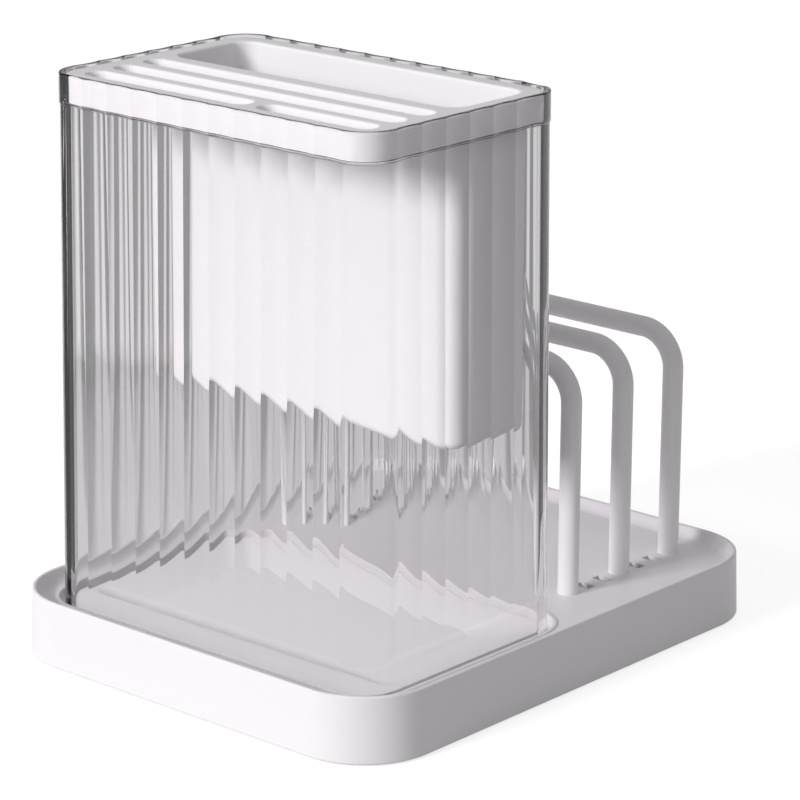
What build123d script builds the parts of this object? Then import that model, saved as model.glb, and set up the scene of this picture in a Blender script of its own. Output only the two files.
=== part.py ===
"""Knife rack: a drip tray, a clear fluted housing, a slotted insert with a utensil box, and three hoops."""
from build123d import *
import os
from math import radians, tan

os.makedirs("parts", exist_ok=True)

# Driving dimensions in millimetres. The front looks along -Y and the hoops stand at the back.
# The origin is on the table, under the middle of the tray.

# Tray
rim_width = 192.0
rim_depth = 237.5
rim_corner = 29.4
tray_height = 25.9
tray_lean = 2.06
tray_wall = 2.2
rim_wall = 2.0
rim_round = 0.8
deck_drop = 4.5
deck_thickness = 2.4
cove_round = 3.8
cavity_lean = 1.0

# Groove that holds the housing, plinth inside it and shallow dish in the plinth.
# The dish has a flat border in front and a long ramp on the other three sides.
groove_depth = 3.5
groove_outer_gap = 2.0
plinth_gap = 0.6
plinth_drop = 1.0
bead_width = 1.8
bead_height = 0.6
bead_round = 0.48
dish_front_border = 15.0
dish_edge_land = 0.8
dish_depth = 3.4
dish_ramp = 20.5
dish_front_step = 0.8
dish_corner = 8.0
moulded_floor = 2.0

# Housing
housing_width = 161.2
housing_depth = 107.2
housing_corner = 13.5
housing_centre_y = -49.9
housing_top = 228.7
housing_lean = 0.667
housing_wall = 3.4
flute_pitch = 12.9
flute_depth_at_foot = 0.25
flute_depth_at_top = 0.95
flute_shift_x = -2.3
flute_shift_y = -0.5
flutes_across_front = 11
flutes_along_side = 6
band_height = 11.0
band_step = 0.25
lip_wall = 2.0

# Insert
insert_drop = 0.9
insert_gap = 0.25
plate_thickness = 2.6
skirt_wall = 1.8
plate_edge_round = 0.8
slot_width = 8.6
slot_edge_round = 1.2
slot_guide_depth = 6.5
slot_guide_wall = 1.6
slot_row_distances = (14.1, 28.8, 44.4)
slot_reach = 70.6
slot_split_left = 10.6
slot_split_right = 16.8
box_inner_width = 141.4
box_inner_depth = 40.4
box_corner = 7.0
box_back_distance = 10.0
box_wall = 1.9
box_lean = 0.3
box_bottom = 99.8
box_floor_round = 3.0

# Hoops
hoop_count = 3
hoop_leg_x = 63.8
hoop_first_y = 32.4
hoop_pitch = 32.14
hoop_rod = 8.2
hoop_bar_height = 113.6
hoop_bend = 14.9
hoop_socket_depth = 13.0
hoop_end_chamfer = 0.6
socket_clearance = 0.06
socket_boss = 13.0
socket_floor = 1.8

# Drain slots beside the hoop legs
drain_length = 7.0
drain_width = 4.4
drain_corner = 0.7

# Soft feet
foot_diameter = 14.0
foot_thickness = 1.7
foot_stand_out = 0.8
foot_gap = 0.3
foot_round = 0.4
foot_boss = 19.0
foot_x = 79.5
foot_y = 102.5

# Cross ribs under the tray: two below the housing and one at each hoop
rib_thickness = 1.6
rib_lift = 5.0
housing_rib_ys = (-77.0, -22.0)

# How far a cut runs past the surface it opens, and how far joined parts reach into each other
overcut = 1.0
overlap = 1.0

# Half the height band in which edges are picked, and the step below which two points count as one
pick_band = 0.01
same_place = 0.05

# Heights and sizes worked out from the above
tray_bottom = foot_stand_out
rim_top = tray_bottom + tray_height
deck = rim_top - deck_drop
deck_underside = deck - deck_thickness
groove_floor = deck - groove_depth
plinth_top = deck - plinth_drop
dish_floor = plinth_top - dish_depth
lower_underside = min(groove_floor, dish_floor) - moulded_floor
border_underside = plinth_top - deck_thickness
foot_spread = tray_height * tan(radians(tray_lean))
ledge = housing_top - band_height
insert_top = housing_top - insert_drop
insert_centre_y = housing_centre_y
insert_width = housing_width - 2 * (lip_wall + insert_gap)
insert_depth = housing_depth - 2 * (lip_wall + insert_gap)
insert_corner = housing_corner - lip_wall - insert_gap
insert_front = insert_centre_y - housing_depth / 2
hoop_ys = [hoop_first_y + step * hoop_pitch for step in range(hoop_count)]


def slab(width, depth, corner, bottom, top, centre_y=0.0, lean=0.0):
    """A rounded block between two heights. It is drawn at the bottom and leans inwards by lean degrees."""
    outline = Plane.XY.offset(bottom) * Pos(0, centre_y) * RectangleRounded(width, depth, corner)
    return extrude(outline, amount=top - bottom, taper=lean)


def housing_slab(inset, bottom, top):
    """A block that follows the housing, set in from its outer face by inset, between two heights."""
    outset = (housing_top - bottom) * tan(radians(housing_lean)) - inset
    return slab(
        housing_width + 2 * outset,
        housing_depth + 2 * outset,
        housing_corner + outset,
        bottom,
        top,
        housing_centre_y,
        housing_lean,
    )


def level_slab(outset, bottom, top):
    """An upright block that follows the foot of the housing, larger than it by outset all round."""
    spread = (housing_top - groove_floor) * tan(radians(housing_lean)) + outset
    return slab(
        housing_width + 2 * spread,
        housing_depth + 2 * spread,
        housing_corner + spread,
        bottom,
        top,
        housing_centre_y,
    )


def edges_at(shape, height):
    """Edges that lie flat at one height."""
    return shape.edges().filter_by_position(Axis.Z, height - pick_band, height + pick_band)


def leg_places():
    """Where the hoop legs stand on the deck, hoop by hoop."""
    for y in hoop_ys:
        for side in (-1, 1):
            yield side * hoop_leg_x, y


def foot_places():
    """Where the soft feet sit under the tray."""
    for side in (-1, 1):
        for end in (-1, 1):
            yield side * foot_x, end * foot_y


# Tray
foot_width = rim_width + 2 * foot_spread
foot_depth = rim_depth + 2 * foot_spread
tray = slab(foot_width, foot_depth, rim_corner + foot_spread, tray_bottom, rim_top, lean=tray_lean)
tray = fillet(edges_at(tray, tray_bottom), rim_round)
pocket_corner = rim_corner - rim_wall
pocket = slab(rim_width - 2 * rim_wall, rim_depth - 2 * rim_wall, pocket_corner, deck, rim_top + overcut)
pocket = fillet(edges_at(pocket, deck), cove_round)
tray -= pocket
tray = fillet(edges_at(tray, rim_top), rim_round)

# Bead, groove, plinth and dish
plinth_outset = -housing_wall - plinth_gap
bead = level_slab(groove_outer_gap + bead_width, deck - overlap, deck + bead_height)
bead = fillet(edges_at(bead, deck + bead_height), bead_round)
tray += bead
tray -= level_slab(groove_outer_gap, plinth_top, deck + bead_height + overcut)
tray = fillet(edges_at(tray, deck + bead_height), bead_round)
groove = level_slab(groove_outer_gap, groove_floor, plinth_top)
groove -= level_slab(plinth_outset, groove_floor, plinth_top)
tray -= groove
plinth_spread = (housing_top - groove_floor) * tan(radians(housing_lean)) + plinth_outset
plinth_half_width = housing_width / 2 + plinth_spread
plinth_half_depth = housing_depth / 2 + plinth_spread


def dish_outline(height, half_width, front_inset, rear_inset):
    """Outline of the dish at one height, set in from the front and the rear edge of the plinth."""
    depth = 2 * plinth_half_depth - front_inset - rear_inset
    centre_y = housing_centre_y + (front_inset - rear_inset) / 2
    return Plane.XY.offset(height) * Pos(0, centre_y) * RectangleRounded(2 * half_width, depth, dish_corner)


def dish_block(grow, top, bottom):
    """The hollow of the dish as a solid between two heights, larger by grow all round."""
    high = dish_outline(
        top,
        plinth_half_width - dish_edge_land + grow,
        dish_front_border - grow,
        dish_edge_land - grow,
    )
    low = dish_outline(
        bottom,
        plinth_half_width - dish_ramp + grow,
        dish_front_border + dish_front_step - grow,
        dish_ramp - grow,
    )
    return loft([low, high], ruled=True)


tray -= dish_block(0.0, plinth_top, dish_floor)

# Hollow underneath, with the channel, the ribs and the bosses left standing in it
cavity = slab(
    foot_width - 2 * tray_wall,
    foot_depth - 2 * tray_wall,
    rim_corner + foot_spread - tray_wall,
    tray_bottom - overcut,
    deck_underside,
    lean=tray_lean + cavity_lean,
)
channel = level_slab(groove_outer_gap + moulded_floor, lower_underside, deck_underside + overcut)
under_plinth = level_slab(plinth_outset - moulded_floor, lower_underside - overcut, border_underside)
under_plinth -= dish_block(moulded_floor, border_underside, lower_underside)
cavity -= channel - under_plinth
for rib_y in [*housing_rib_ys, *hoop_ys]:
    rib = Pos(0, rib_y, (rib_lift + deck) / 2) * Box(foot_width, rib_thickness, deck - rib_lift)
    cavity -= rib
socket_bottom = deck - hoop_socket_depth
for x, y in leg_places():
    boss_bottom = socket_bottom - socket_floor
    boss = Pos(x, y, boss_bottom) * Cylinder(
        socket_boss / 2, deck - boss_bottom, align=(Align.CENTER, Align.CENTER, Align.MIN)
    )
    cavity -= boss
for x, y in foot_places():
    boss = Pos(x, y, tray_bottom) * Cylinder(
        foot_boss / 2, deck - tray_bottom, align=(Align.CENTER, Align.CENTER, Align.MIN)
    )
    cavity -= boss
tray -= cavity

# Sockets for the hoops, drain slots and seats for the feet
socket_radius = hoop_rod / 2 + socket_clearance
for x, y in leg_places():
    socket = Pos(x, y, socket_bottom) * Cylinder(
        socket_radius, hoop_socket_depth + overcut, align=(Align.CENTER, Align.CENTER, Align.MIN)
    )
    tray -= socket
drain_step = hoop_pitch / 3
for side in (-1, 1):
    for y in hoop_ys[:-1]:
        for place in (1, 2):
            drain = Plane.XY.offset(tray_bottom) * Pos(side * hoop_leg_x, y + place * drain_step)
            drain = drain * RectangleRounded(drain_length, drain_width, drain_corner)
            tray -= extrude(drain, amount=rim_top - tray_bottom)
for x, y in foot_places():
    seat = Pos(x, y, 0) * Cylinder(
        foot_diameter / 2 + foot_gap, foot_thickness, align=(Align.CENTER, Align.CENTER, Align.MIN)
    )
    tray -= seat

# Soft feet
feet = {}
for x, y in foot_places():
    foot = Pos(x, y, 0) * Cylinder(
        foot_diameter / 2, foot_thickness, align=(Align.CENTER, Align.CENTER, Align.MIN)
    )
    foot = fillet(edges_at(foot, 0), foot_round)
    end_word = "front" if y < 0 else "rear"
    side_word = "left" if x < 0 else "right"
    feet[f"foot_{end_word}_{side_word}"] = foot


def ridge_places(count, shift):
    """Distances of the ridges between the flutes from the middle of a face."""
    return [(step - count / 2) * flute_pitch + shift for step in range(count + 1)]


def flute_depth_at(height):
    """Depth of the flutes, which fade out towards the foot."""
    share = (height - groove_floor) / (housing_top - groove_floor)
    return flute_depth_at_foot + share * (flute_depth_at_top - flute_depth_at_foot)


def fluted_outline(height, outset):
    """Outline of the housing at one height: a rounded rectangle with a shallow hollow between ridges."""
    flute_depth = flute_depth_at(height)
    straight_x = housing_width / 2 - housing_corner
    straight_y = housing_depth / 2 - housing_corner
    radius = housing_corner + outset
    front = []
    for x in ridge_places(flutes_across_front, flute_shift_x):
        past = max(0.0, abs(x) - straight_x)
        front.append((x, -straight_y - (radius**2 - past**2) ** 0.5))
    right = [(straight_x + radius, y) for y in ridge_places(flutes_along_side, flute_shift_y)]
    back = [(-x, -y) for x, y in front]
    left = [(-x, -y) for x, y in right]
    faces_of_outline = (front, right, back, left)
    inward = (Vector(0, 1), Vector(-1, 0), Vector(0, -1), Vector(1, 0))
    corners = ((1, -1), (1, 1), (-1, 1), (-1, -1))
    edges = []
    for number, ridges in enumerate(faces_of_outline):
        for start, end in zip(ridges[:-1], ridges[1:]):
            chord_middle = (Vector(*start) + Vector(*end)) * 0.5
            hollow = chord_middle + inward[number] * flute_depth
            edges.append(ThreePointArc(start, hollow, end))
        side_x, side_y = corners[number]
        centre = Vector(side_x * straight_x, side_y * straight_y)
        begin = Vector(*ridges[-1])
        finish = Vector(*faces_of_outline[(number + 1) % 4][0])
        arc_begin = corner_tangent(begin, centre, radius, number)
        arc_finish = corner_tangent(finish, centre, radius, number)
        middle = centre + (((arc_begin - centre) + (arc_finish - centre)).normalized()) * radius
        if (arc_begin - begin).length > same_place:
            edges.append(Line(begin, arc_begin))
        edges.append(ThreePointArc(arc_begin, middle, arc_finish))
        if (finish - arc_finish).length > same_place:
            edges.append(Line(arc_finish, finish))
    return Plane.XY.offset(height) * Pos(0, housing_centre_y) * make_face(edges)


def corner_tangent(point, centre, radius, number):
    """The place where a corner curve takes over from the ridge next to it."""
    from_centre = point - centre
    if abs(from_centre.length - radius) < same_place:
        return point
    if abs(abs(from_centre.X) - radius) < same_place:
        return Vector(point.X, centre.Y)
    return Vector(centre.X, point.Y)


def fluted_block(bottom, top, step):
    """A solid with the fluted outline at both ends, widening downwards."""
    low = (housing_top - bottom) * tan(radians(housing_lean)) + step
    high = (housing_top - top) * tan(radians(housing_lean)) + step
    return loft([fluted_outline(bottom, low), fluted_outline(top, high)], ruled=True)


# Housing
housing = fluted_block(groove_floor, ledge, 0.0) + fluted_block(ledge, housing_top, band_step)
housing -= housing_slab(housing_wall, groove_floor - overcut, ledge + overcut)
lip_inside = slab(
    housing_width - 2 * lip_wall,
    housing_depth - 2 * lip_wall,
    housing_corner - lip_wall,
    ledge,
    housing_top + overcut,
    housing_centre_y,
)
housing -= lip_inside

# Insert: plate and skirt
insert = slab(insert_width, insert_depth, insert_corner, ledge, insert_top, insert_centre_y)
insert = fillet(edges_at(insert, insert_top), plate_edge_round)
insert -= slab(
    insert_width - 2 * skirt_wall,
    insert_depth - 2 * skirt_wall,
    insert_corner - skirt_wall,
    ledge - overcut,
    insert_top - plate_thickness,
    insert_centre_y,
)

# Insert: utensil box hanging from the plate
box_centre_y = housing_centre_y + housing_depth / 2 - box_back_distance - box_inner_depth / 2


def box_slab(grow, bottom, top, corner):
    """A block that follows the inside of the utensil box, grown by grow, narrowing downwards."""
    outline = Plane.XY.offset(top) * Pos(0, box_centre_y)
    outline = outline * RectangleRounded(box_inner_width + 2 * grow, box_inner_depth + 2 * grow, corner)
    return extrude(outline, amount=bottom - top, taper=box_lean)


box_outside = box_slab(box_wall, box_bottom, insert_top - overlap, box_corner + box_wall)
box_outside = fillet(edges_at(box_outside, box_bottom), box_floor_round)
insert += box_outside
box_inside = box_slab(0.0, box_bottom + box_wall, insert_top, box_corner)
box_inside = fillet(edges_at(box_inside, box_bottom + box_wall), box_floor_round - box_wall / 2)
insert -= box_inside

# Insert: knife slots, each with a guide below the plate
slot_rows = [insert_front + distance for distance in slot_row_distances]
guide_plane = Plane.XY.offset(insert_top - slot_guide_depth)
slots = [
    (-slot_reach, slot_split_left, slot_rows[0]),
    (slot_split_right, slot_reach, slot_rows[0]),
    (-slot_reach, slot_reach, slot_rows[1]),
    (-slot_reach, slot_reach, slot_rows[2]),
]
for slot_left, slot_right, row in slots:
    length = slot_right - slot_left
    place = Pos((slot_left + slot_right) / 2, row)
    guide = place * SlotOverall(length + 2 * slot_guide_wall, slot_width + 2 * slot_guide_wall)
    insert += extrude(guide_plane * guide, amount=slot_guide_depth - overlap)
for slot_left, slot_right, row in slots:
    length = slot_right - slot_left
    place = Pos((slot_left + slot_right) / 2, row)
    slot = place * SlotOverall(length, slot_width)
    insert -= extrude(guide_plane * slot, amount=slot_guide_depth)
plate_border = edges_at(insert, insert_top).filter_by(
    lambda edge: abs(edge.center().X) > slot_reach + slot_width
    or abs(edge.center().Y - insert_centre_y) > insert_depth / 2 - box_back_distance / 2
)
insert = fillet(edges_at(insert, insert_top) - plate_border, slot_edge_round)

# Hoops
hoops = {}
for y, row_word in zip(hoop_ys, ("front", "middle", "rear")):
    path = FilletPolyline(
        (-hoop_leg_x, y, socket_bottom),
        (-hoop_leg_x, y, hoop_bar_height),
        (hoop_leg_x, y, hoop_bar_height),
        (hoop_leg_x, y, socket_bottom),
        radius=hoop_bend,
    )
    section = Plane((-hoop_leg_x, y, socket_bottom)) * Circle(hoop_rod / 2)
    hoop = sweep(section, path=path)
    hoops[f"board_hoop_{row_word}"] = chamfer(edges_at(hoop, socket_bottom), hoop_end_chamfer)

# Files
pieces = {"base_tray": tray, "clear_housing": housing, "knife_insert": insert}
pieces.update(hoops)
pieces.update(feet)
for name, piece in pieces.items():
    export_step(piece, f"parts/{name}.step")
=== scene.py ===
from math import asin, cos, pi, radians, sin, sqrt, tan

import bpy
from mathutils import Euler, Matrix, Vector


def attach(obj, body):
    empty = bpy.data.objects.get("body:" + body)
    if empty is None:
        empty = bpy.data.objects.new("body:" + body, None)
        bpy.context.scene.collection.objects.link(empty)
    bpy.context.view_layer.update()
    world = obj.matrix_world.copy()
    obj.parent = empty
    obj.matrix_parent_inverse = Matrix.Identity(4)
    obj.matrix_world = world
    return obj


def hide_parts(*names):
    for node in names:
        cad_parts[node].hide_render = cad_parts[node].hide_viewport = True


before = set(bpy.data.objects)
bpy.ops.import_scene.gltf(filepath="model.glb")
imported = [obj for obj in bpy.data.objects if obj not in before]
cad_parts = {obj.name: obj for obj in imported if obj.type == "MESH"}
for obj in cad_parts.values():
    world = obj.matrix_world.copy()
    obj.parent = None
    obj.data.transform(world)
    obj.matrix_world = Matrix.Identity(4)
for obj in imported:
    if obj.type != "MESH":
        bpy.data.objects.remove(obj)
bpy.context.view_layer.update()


# Drip tray: one white injection moulding in ABS with a satin skin. A low rim runs round it, the
# groove with its bead takes the housing, and the hoops stand in sockets in the deck behind it.

def node_link(tree, start, outlet, end, inlet):
    """Joins two shader nodes."""
    tree.links.new(start.outputs[outlet], end.inputs[inlet])


def spots_on_piece(tree, scale, detail=2.0):
    """Soft random spots that keep their place on a piece. Scale is about how many lie along a metre."""
    place = tree.nodes.new("ShaderNodeTexCoord")
    spots = tree.nodes.new("ShaderNodeTexNoise")
    spots.inputs["Scale"].default_value = scale
    spots.inputs["Detail"].default_value = detail
    node_link(tree, place, "Object", spots, "Vector")
    return spots


def raise_spots(tree, spots, skin, strength, depth):
    """Lets spots stand out a little from the skin."""
    relief = tree.nodes.new("ShaderNodeBump")
    relief.inputs["Strength"].default_value = strength
    relief.inputs["Distance"].default_value = depth
    node_link(tree, spots, "Fac", relief, "Height")
    node_link(tree, relief, "Normal", skin, "Normal")


flow_scale = 14.0
flow_shade = 0.985
sheen_scale = 60.0
sheen_spread = 0.04
pit_scale = 2600.0
pit_depth = 0.00004


def satin_plastic(name, colour, roughness, grain):
    """Moulded plastic: an even colour with faint cloudy flow, and the fine spark-eroded mould skin."""
    material = bpy.data.materials.new(name)
    material.use_nodes = True
    tree = material.node_tree
    skin = tree.nodes["Principled BSDF"]

    tint = tree.nodes.new("ShaderNodeMix")
    tint.data_type = "RGBA"
    tint.inputs["A"].default_value = (*[flow_shade * part for part in colour], 1.0)
    tint.inputs["B"].default_value = (*colour, 1.0)
    node_link(tree, spots_on_piece(tree, flow_scale, detail=3.0), "Fac", tint, "Factor")
    node_link(tree, tint, "Result", skin, "Base Color")

    sheen = tree.nodes.new("ShaderNodeMapRange")
    sheen.inputs["To Min"].default_value = roughness - sheen_spread
    sheen.inputs["To Max"].default_value = roughness + sheen_spread
    node_link(tree, spots_on_piece(tree, sheen_scale), "Fac", sheen, "Value")
    node_link(tree, sheen, "Result", skin, "Roughness")

    raise_spots(tree, spots_on_piece(tree, pit_scale), skin, grain, pit_depth)
    return material


def finish_node(name, material):
    """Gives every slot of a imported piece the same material."""
    for place in range(len(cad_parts[name].data.materials)):
        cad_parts[name].data.materials[place] = material


white = (0.885, 0.865, 0.885)
white_plastic = satin_plastic("white_satin_plastic", white, roughness=0.44, grain=0.15)
finish_node("base_tray", white_plastic)


# Soft feet: four thermoplastic rubber discs, bonded into round seats under the tray.
# They keep it from sliding on a wet worktop.

rubber_grey = (0.48, 0.475, 0.48)
soft_rubber = satin_plastic("soft_grey_rubber", rubber_grey, roughness=0.82, grain=0.6)
for end in ("front", "rear"):
    for side in ("left", "right"):
        finish_node(f"foot_{end}_{side}", soft_rubber)


# Clear housing: one tall sleeve in clear styrene, open at both ends, drawn off a slightly tapering
# core. The mould cuts shallow upright hollows in its outside, and a band with a thin lip tops it.

housing_centre_y = -0.0499
housing_top = 0.2287
housing_foot = 0.0187
ledge_height = 0.2177
straight_half = {"across": 0.0671, "along": 0.0401}
flutes_on = {"across": 11, "along": 6}
corner_radius = 0.0135
draw_slope = tan(radians(0.667))
flute_pitch = 0.0129
flute_shift = {"across": -0.0023, "along": -0.0005}

# How steeply the sides of a flute slope, from the foot of the housing to its top.
flute_lean = (
    (housing_foot, 0.003),
    (0.031, 0.005),
    (0.050, 0.031),
    (0.122, 0.135),
    (housing_top, 0.185),
)

# The share of a flute that each flat side takes, and the width of a ridge between two flutes.
flat_side = 0.15
ridge_width = 0.00012
steps_in_flute = 14
steps_in_corner = 26


def flute_depth_at(share, height):
    """Depth of the hollow at a share of the way across a flute: two flat sides and a rounded floor."""
    for (low, low_lean), (high, high_lean) in zip(flute_lean, flute_lean[1:]):
        if height <= high:
            lean = low_lean + (high_lean - low_lean) * (height - low) / (high - low)
            break
    from_ridge = min(share, 1.0 - share)
    past_side = max(0.0, from_ridge - flat_side)
    return lean * flute_pitch * (from_ridge - past_side**2 / (1.0 - 2.0 * flat_side))


def flute_shares():
    """Where the points lie across one flute, close together beside the ridges."""
    edge = [0.0, ridge_width / flute_pitch, flat_side / 2]
    floor_width = 1.0 - 2.0 * flat_side
    inner = [flat_side + floor_width * step / steps_in_flute for step in range(steps_in_flute + 1)]
    return edge + inner + [1.0 - place for place in reversed(edge[1:])]


def housing_ring(height, reach, fluted):
    """One closed line round front, right, rear and left. Reach is how far it lies past the top's outline."""
    radius = corner_radius + reach
    ring = []
    for turn in range(4):
        run, other = ("across", "along") if turn % 2 == 0 else ("along", "across")
        level = straight_half[other] + radius
        first = -flutes_on[run] / 2 * flute_pitch + flute_shift[run]
        last = first + flutes_on[run] * flute_pitch
        next_first = flutes_on[other] / 2 * flute_pitch - flute_shift[other]

        def outline(u):
            past = max(0.0, abs(u) - straight_half[run])
            return level - radius + sqrt(radius**2 - past**2)

        local = []
        for number in range(flutes_on[run]):
            start = first + number * flute_pitch
            for share in flute_shares():
                u = start + share * flute_pitch
                if fluted:
                    chord = outline(start) + (outline(start + flute_pitch) - outline(start)) * share
                    local.append((u, chord - flute_depth_at(share, height)))
                else:
                    local.append((u, outline(u)))
        begin = asin(max(0.0, last - straight_half[run]) / radius)
        finish = pi / 2 - asin(max(0.0, next_first - straight_half[other]) / radius)
        local.append((last, outline(last)))
        if last < straight_half[run]:
            local.append(((last + straight_half[run]) / 2, level))
        for step in range(1 if begin > 0.0 else 0, steps_in_corner + 1):
            angle = begin + (finish - begin) * step / steps_in_corner
            u = straight_half[run] + radius * sin(angle)
            local.append((u, straight_half[other] + radius * cos(angle)))
        if next_first >= straight_half[other]:
            local.pop()
        else:
            local.append((straight_half[run] + radius, (next_first + straight_half[other]) / 2))
        for u, v in local:
            x, y = ((u, -v), (v, u), (-u, v), (-v, -u))[turn]
            ring.append((x, y + housing_centre_y, height))
    return ring


def closed_skin(name, rings):
    """A closed mesh from rings of equal count, each joined to the next and the last to the first."""
    count = len(rings[0])
    points = [point for ring in rings for point in ring]
    faces = []
    for level in range(len(rings)):
        above = (level + 1) % len(rings)
        for place in range(count):
            after = (place + 1) % count
            faces.append(
                (level * count + place, level * count + after, above * count + after, above * count + place)
            )
    mesh = bpy.data.meshes.new(name)
    mesh.from_pydata(points, [], faces)
    mesh.update()
    for face in mesh.polygons:
        face.use_smooth = True
    piece = bpy.data.objects.new(name, mesh)
    bpy.context.scene.collection.objects.link(piece)
    return piece


def draw_at(height):
    """How much wider the housing is at a height than at its top."""
    return (housing_top - height) * draw_slope


housing_wall = 0.0034
lip_wall = 0.002
band_step = 0.0004
band_shoulder = 0.0007
bend_below_band = 0.4 * band_shoulder
bend_step = 0.8 * band_step

# A round takes three rings, and a fourth just past it keeps the smooth shading off the flat wall.
edge_round = 0.0004
round_middle = 0.3 * edge_round
past_round = 0.00006
rounding = [
    (0.0, edge_round),
    (round_middle, round_middle),
    (edge_round, 0.0),
    (edge_round + past_round, 0.0),
]


def lower_round(height, step, way):
    """Rings up from a lower edge onto a face at the step. The edge lies outside it where way is 1."""
    return [(height + rise, step + way * away) for rise, away in rounding]


def upper_round(height, step, way):
    """The same from such a face up to an upper edge."""
    return [(height - drop, step + way * away) for drop, away in reversed(rounding)]


shoulder = [
    (ledge_height - band_shoulder - past_round, 0.0),
    (ledge_height - band_shoulder, 0.0),
    (ledge_height - bend_below_band, bend_step),
    (ledge_height, band_step),
    (ledge_height + past_round, band_step),
]
bends_of_flutes = [(height, 0.0) for height, lean in flute_lean[1:-1]]
outside = lower_round(housing_foot, 0.0, -1) + bends_of_flutes + shoulder
outside += upper_round(housing_top, band_step, -1)
inside = lower_round(housing_foot, 0.0, 1) + upper_round(ledge_height, 0.0, 1)
lip = lower_round(ledge_height, 0.0, -1) + upper_round(housing_top, 0.0, 1)
skin_rings = [housing_ring(height, draw_at(height) + step, True) for height, step in outside]
skin_rings += [housing_ring(height, step - lip_wall, False) for height, step in reversed(lip)]
skin_rings += [
    housing_ring(height, draw_at(height) + step - housing_wall, False) for height, step in reversed(inside)
]
housing = closed_skin("fluted_housing", skin_rings)


clear_tint = (0.957, 0.948, 0.957, 1.0)
shadow_tint = (0.97, 0.965, 0.97, 1.0)
bending_of_light = 1.5
wave_scale = 26.0
wave_strength = 0.3
wave_depth = 0.0002


def clear_plastic(name):
    """Clear styrene: a little light is lost at each surface, and the drawn walls are faintly wavy."""
    material = bpy.data.materials.new(name)
    material.use_nodes = True
    tree = material.node_tree
    outlet = tree.nodes["Material Output"]
    glass = tree.nodes["Principled BSDF"]
    glass.inputs["Base Color"].default_value = clear_tint
    glass.inputs["Transmission Weight"].default_value = 1.0
    glass.inputs["Roughness"].default_value = 0.0
    glass.inputs["IOR"].default_value = bending_of_light
    raise_spots(tree, spots_on_piece(tree, wave_scale, detail=1.0), glass, wave_strength, wave_depth)
    way = tree.nodes.new("ShaderNodeLightPath")
    open_way = tree.nodes.new("ShaderNodeBsdfTransparent")
    open_way.inputs["Color"].default_value = shadow_tint
    chosen = tree.nodes.new("ShaderNodeMixShader")
    node_link(tree, way, "Is Shadow Ray", chosen, 0)
    node_link(tree, glass, "BSDF", chosen, 1)
    node_link(tree, open_way, "BSDF", chosen, 2)
    node_link(tree, chosen, "Shader", outlet, "Surface")
    return material


housing.data.materials.append(clear_plastic("clear_styrene"))
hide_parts("clear_housing")
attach(housing, "housing")


# Knife insert: one white moulding that rests on the ledge inside the housing. Four slots take the
# blades, and the deep box at the back takes scissors and other utensils.

finish_node("knife_insert", white_plastic)


# Board hoops: three bent rods moulded in the same white plastic. Each is pressed into two sockets.

for row in ("front", "middle", "rear"):
    finish_node(f"board_hoop_{row}", white_plastic)


# Floor and light: a pale tabletop, one broad soft lamp at the left of the front, and an even pale
# surround. The floor shows white and keeps the object's shadow. Eleven upright dark cards stand
# evenly round the table, as for any clear thing in a studio, and give the clear walls grey edges.

def set_inlet(tree, inlet, value):
    """Sets a shader inlet to a plain number, or links it to another node's outlet."""
    if isinstance(value, (int, float)):
        inlet.default_value = value
    else:
        tree.links.new(value, inlet)


def math_step(tree, operation, *values):
    """One sum on outlets or plain numbers."""
    step = tree.nodes.new("ShaderNodeMath")
    step.operation = operation
    for inlet, value in zip(step.inputs, values):
        set_inlet(tree, inlet, value)
    return step.outputs[0]


def product(tree, first, *others):
    """All the values multiplied together."""
    for other in others:
        first = math_step(tree, "MULTIPLY", first, other)
    return first


def total(tree, first, *others):
    """All the values added up."""
    for other in others:
        first = math_step(tree, "ADD", first, other)
    return first


def ramp(tree, value, begins, ends, low, high, soft=False):
    """Goes from low to high while the value passes from where it begins to where it ends."""
    step = tree.nodes.new("ShaderNodeMapRange")
    if soft:
        step.interpolation_type = "SMOOTHSTEP"
    given = {"Value": value, "From Min": begins, "From Max": ends, "To Min": low, "To Max": high}
    for inlet, setting in given.items():
        set_inlet(tree, step.inputs[inlet], setting)
    return step.outputs["Result"]


# Bounces are counted in whole numbers, so a count under this means none.
under_one = 0.5


def ray_kinds(tree):
    """The light path, and 1 for a ray that a clear wall mirrors or passes on before it met a matt face."""
    way = tree.nodes.new("ShaderNodeLightPath")
    before_matt = math_step(tree, "LESS_THAN", way.outputs["Diffuse Depth"], under_one)
    not_through = math_step(tree, "SUBTRACT", 1.0, way.outputs["Is Transmission Ray"])
    mirrored = product(tree, way.outputs["Is Glossy Ray"], before_matt, not_through)
    clear = product(tree, way.outputs["Is Transmission Ray"], before_matt)
    return way, mirrored, clear


floor_grey = (0.45, 0.45, 0.45, 1.0)
floor_glow = 0.78


def pale_floor():
    """A matt pale top, lifted to white where it is seen. Clear walls show the room past it."""
    material = bpy.data.materials.new("pale_tabletop")
    material.use_nodes = True
    tree = material.node_tree
    outlet = tree.nodes["Material Output"]
    tree.nodes.remove(tree.nodes["Principled BSDF"])
    matt = tree.nodes.new("ShaderNodeBsdfDiffuse")
    matt.inputs["Color"].default_value = floor_grey
    glow = tree.nodes.new("ShaderNodeEmission")
    way, mirrored, clear = ray_kinds(tree)
    seen = total(tree, way.outputs["Is Camera Ray"], mirrored)
    tree.links.new(product(tree, seen, floor_glow), glow.inputs["Strength"])
    both = tree.nodes.new("ShaderNodeAddShader")
    node_link(tree, matt, "BSDF", both, 0)
    node_link(tree, glow, "Emission", both, 1)
    past = tree.nodes.new("ShaderNodeBsdfTransparent")
    chosen = tree.nodes.new("ShaderNodeMixShader")
    tree.links.new(clear, chosen.inputs[0])
    node_link(tree, both, "Shader", chosen, 1)
    node_link(tree, past, "BSDF", chosen, 2)
    node_link(tree, chosen, "Shader", outlet, "Surface")
    return material


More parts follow.
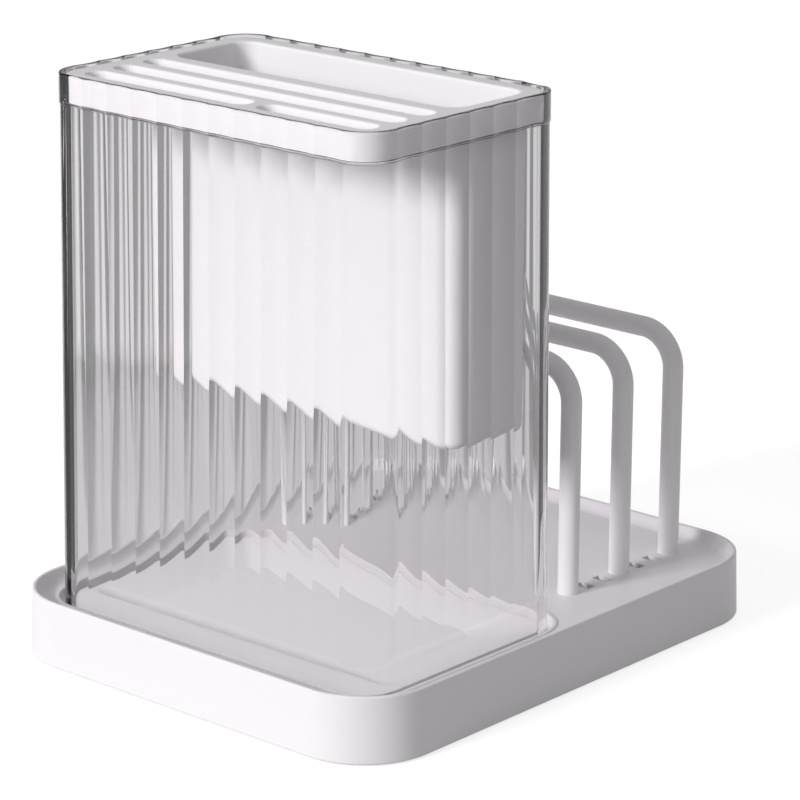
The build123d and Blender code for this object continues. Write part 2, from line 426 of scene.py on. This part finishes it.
floor_reach = 6.0
floor_mesh = bpy.data.meshes.new("tabletop")
floor_corners = [(x * floor_reach, y * floor_reach, 0.0) for x, y in ((-1, -1), (1, -1), (1, 1), (-1, 1))]
floor_mesh.from_pydata(floor_corners, [], [(0, 1, 2, 3)])
floor = bpy.data.objects.new("tabletop", floor_mesh)
bpy.context.scene.collection.objects.link(floor)
floor_mesh.materials.append(pale_floor())

toward_lamp = Vector((-0.16, -0.93, 0.385)).normalized()
lamp_distance = 4.0
lamp_aim = Vector((0.0, 0.0, 0.1))
lamp_light = bpy.data.lights.new("broad_lamp", "AREA")
lamp_light.shape = "DISK"
lamp_light.size = 1.2
lamp_light.energy = 124.0
lamp = bpy.data.objects.new("broad_lamp", lamp_light)
lamp.location = toward_lamp * lamp_distance + lamp_aim
lamp.rotation_mode = "QUATERNION"
lamp.rotation_quaternion = toward_lamp.to_track_quat("Z", "Y")
lamp.visible_transmission = False
lamp.visible_glossy = False
bpy.context.scene.collection.objects.link(lamp)

# The room's light on matt faces. Those behind clear walls get more of it, most of all from above.
room_light = 0.4
past_clear = 2.1
brighter_above = 1.0
darker_right = 0.5
darker_rear = 0.12

# The room as a clear wall shows it. The cards stand at equal angles, and one gap lies right behind.
room_tone = 0.76
behind = radians(131.2)
card_count = 11
card_spacing = 2 * pi / card_count
card_place = behind + card_spacing / 2
card_half = radians(6.4)
card_blur = radians(6.0)
card_light = 0.26
card_light_on_table = 0.45
table_edge = -sin(radians(16.3))
table_tone = 0.82
edge_blur_below = 0.004
edge_blur_above = 0.002
card_foot_below = 0.03
card_foot_above = 0.01

# What a clear wall mirrors: most of the room behind the object, and little of the room in front.
sheen_share = 0.86
mirrored_in_front = 0.12
backdrop_half = radians(50.0)
backdrop_blur = radians(12.0)

# The share that is lost when a ray turns back inside a clear wall, which draws its dark edges.
lost_in_wall = 0.9


def room_through_walls(tree, heading, rise):
    """Tone of the room in a direction: dark at the cards, pale between them, greyer on the table."""
    past_card = math_step(tree, "SUBTRACT", heading, card_place)
    past_card = math_step(tree, "WRAP", past_card, card_spacing / 2, -card_spacing / 2)
    from_card = math_step(tree, "ABSOLUTE", past_card)
    foot_low, foot_high = table_edge - card_foot_below, table_edge + card_foot_above
    card_tone = ramp(tree, rise, foot_low, foot_high, card_light_on_table, card_light)
    cards = ramp(tree, from_card, card_half, card_half + card_blur, card_tone, room_tone, soft=True)
    table = ramp(tree, rise, table_edge - edge_blur_below, table_edge + edge_blur_above, table_tone, 1.0)
    return product(tree, cards, table)


def mirrored_share(tree, heading):
    """How much of the room a clear wall mirrors from a direction."""
    past_behind = math_step(tree, "SUBTRACT", heading, behind)
    from_behind = math_step(tree, "ABSOLUTE", math_step(tree, "WRAP", past_behind, pi, -pi))
    backdrop_end = backdrop_half + backdrop_blur
    backdrop = ramp(tree, from_behind, backdrop_half, backdrop_end, 1.0, mirrored_in_front, soft=True)
    return product(tree, backdrop, sheen_share)


def light_past_walls(tree, direction):
    """Light on matt faces behind clear walls: more from above, less from the right and the rear."""
    from_right = product(tree, direction.outputs["X"], darker_right)
    from_rear = product(tree, direction.outputs["Y"], darker_rear)
    from_above = product(tree, direction.outputs["Z"], brighter_above)
    less = math_step(tree, "SUBTRACT", math_step(tree, "SUBTRACT", 1.0, from_right), from_rear)
    return product(tree, total(tree, less, from_above), past_clear)


surround_tint = (1.0, 0.99, 1.0, 1.0)
surround = bpy.data.worlds.new("pale_surround")
bpy.context.scene.world = surround
surround.use_nodes = True
sky_tree = surround.node_tree
sky = sky_tree.nodes["Background"]
sky.inputs["Color"].default_value = surround_tint

look = sky_tree.nodes.new("ShaderNodeTexCoord")
direction = sky_tree.nodes.new("ShaderNodeSeparateXYZ")
node_link(sky_tree, look, "Generated", direction, "Vector")
heading = math_step(sky_tree, "ARCTAN2", direction.outputs["Y"], direction.outputs["X"])

way, mirrored, clear = ray_kinds(sky_tree)
straight = way.outputs["Is Camera Ray"]
through = way.outputs["Is Transmission Ray"]
sheen = product(sky_tree, mirrored, mirrored_share(sky_tree, heading))
turned_back = math_step(sky_tree, "GREATER_THAN", way.outputs["Glossy Depth"], under_one)
dimmed = math_step(sky_tree, "SUBTRACT", 1.0, product(sky_tree, turned_back, lost_in_wall))
seen_through = product(sky_tree, clear, dimmed)
room = room_through_walls(sky_tree, heading, direction.outputs["Z"])
shown = product(sky_tree, total(sky_tree, sheen, seen_through), room)
on_matt = math_step(sky_tree, "SUBTRACT", 1.0, total(sky_tree, straight, mirrored, through))
on_matt_past_walls = math_step(sky_tree, "SUBTRACT", through, clear)
lit_past_walls = product(sky_tree, on_matt_past_walls, light_past_walls(sky_tree, direction))
matt_light = product(sky_tree, total(sky_tree, on_matt, lit_past_walls), room_light)
sky_tree.links.new(total(sky_tree, straight, shown, matt_light), sky.inputs["Strength"])


# Camera: on the right of the front and a little above, a long way off with a long lens, so that
# upright edges stay almost parallel.

camera_place = (0.870531, -0.989058, 0.494816)
camera_tilt = radians(73.1075)
camera_roll = radians(-0.3125)
camera_heading = radians(41.2905)
lens = bpy.data.cameras.new("long_lens")
lens.lens = 159.69
lens.sensor_width = 36.0
lens.clip_start = 0.05
lens.clip_end = 50.0
camera = bpy.data.objects.new("camera", lens)
turned = Euler((camera_tilt, camera_roll, camera_heading)).to_matrix().to_4x4()
camera.matrix_world = Matrix.Translation(camera_place) @ turned
bpy.context.scene.collection.objects.link(camera)
bpy.context.scene.camera = camera

bpy.context.scene.view_settings.view_transform = "Standard"
